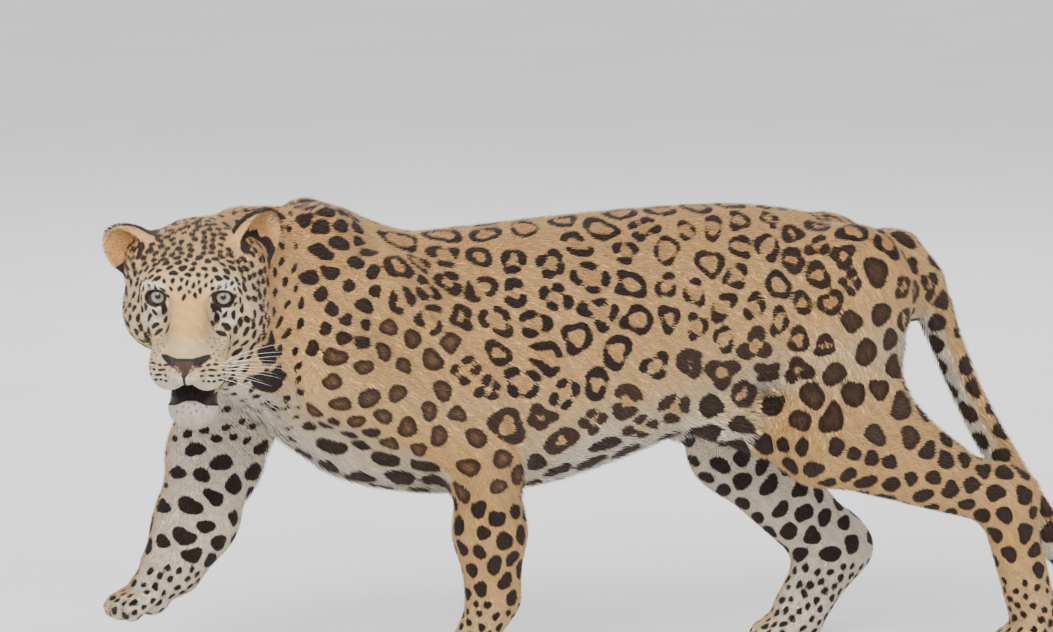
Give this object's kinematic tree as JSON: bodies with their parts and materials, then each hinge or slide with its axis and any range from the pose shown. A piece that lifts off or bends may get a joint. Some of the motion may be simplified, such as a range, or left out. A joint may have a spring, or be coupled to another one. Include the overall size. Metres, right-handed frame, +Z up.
{
  "type": "leopard model",
  "caption": "Life-size still model of a male leopard in mid stride, head turned to its left, right forepaw lifted, tail swept low.",
  "frame": {"origin": "middle of the overall outline seen from above, on the floor plane that the three planted paws stand on", "axes": "-X is the way the animal walks, -Y is its left side, +Z is up"},
  "size_m": [1.572, 0.3632, 0.6603],
  "materials": {
    "coat": "short dense spotted fur",
    "skin": "bare nose leather and lips",
    "eye": "moist clear gloss",
    "whisker": "stiff white hair",
    "claw": "smooth horn"
  },
  "bodies": {
    "root": {"ear_left": "coat", "ear_right": "coat", "head": "coat", "neck": "coat", "chest": "coat", "abdomen": "coat", "hips": "coat", "forearm_left": "coat", "forearm_right": "coat", "paw_front_left": "coat", "paw_front_right": "coat", "thigh_left": "coat", "thigh_right": "coat", "shank_left": "coat", "shank_right": "coat", "foot_left": "coat", "foot_right": "coat", "paw_hind_left": "coat", "paw_hind_right": "coat", "tail_base": "coat", "tail_middle": "coat", "tail_tip": "coat", "eye_left": "eye", "eye_right": "eye"}
  },
  "joints": []
}
